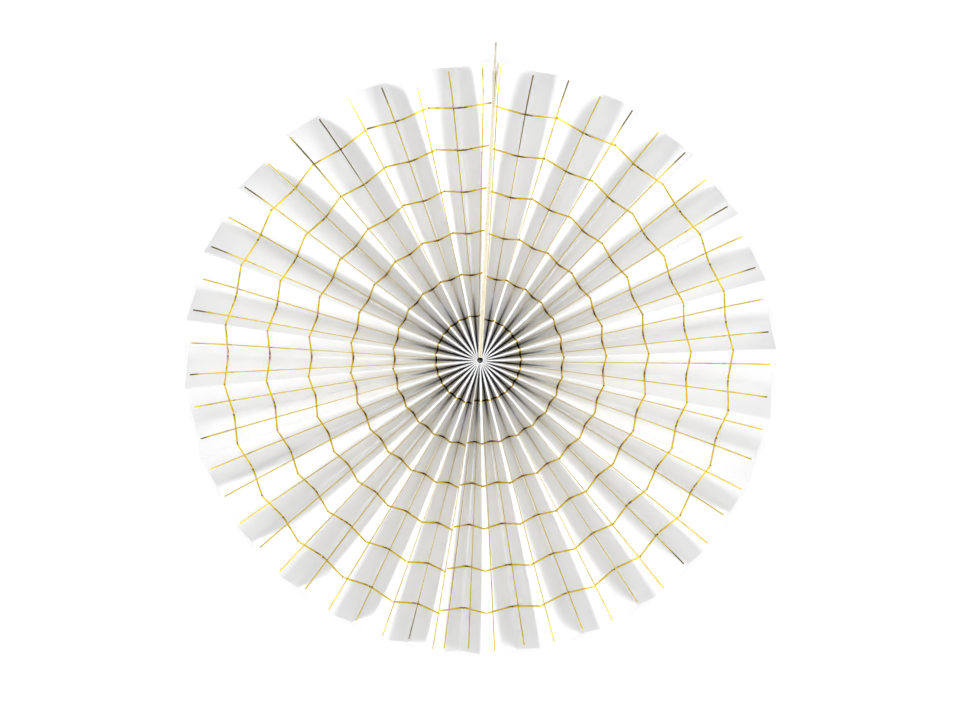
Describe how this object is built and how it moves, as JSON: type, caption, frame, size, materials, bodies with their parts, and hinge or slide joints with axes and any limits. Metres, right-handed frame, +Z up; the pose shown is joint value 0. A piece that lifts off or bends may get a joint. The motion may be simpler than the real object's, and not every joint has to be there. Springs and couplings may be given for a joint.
{
  "type": "paper fan rosette",
  "caption": "Round wall decoration of pleated white paper with a printed gold foil grid, opened from a folded fan and held by two glued end cards with a hanging tab.",
  "frame": {"origin": "centre of the hanging hole in the tab", "axes": "+Z up as it hangs, +Y towards the wall behind it with the printed front facing -Y, +X along the hole"},
  "size_m": [0.3198, 0.0241, 0.333],
  "materials": {
    "white_paper": "satin coated white paper",
    "gold_foil": "hot-stamped mirror gold foil",
    "greyboard": "uncoated recycled board, matt",
    "tape": "translucent adhesive film",
    "thread": "twisted cotton thread"
  },
  "bodies": {
    "root": {"right_pleated_sheet": "white_paper", "left_pleated_sheet": "white_paper", "right_foil_lines": "gold_foil", "left_foil_lines": "gold_foil", "tab_end_card": "greyboard", "plain_end_card": "greyboard", "seam_tape": "tape", "binding_thread": "thread"}
  },
  "joints": []
}
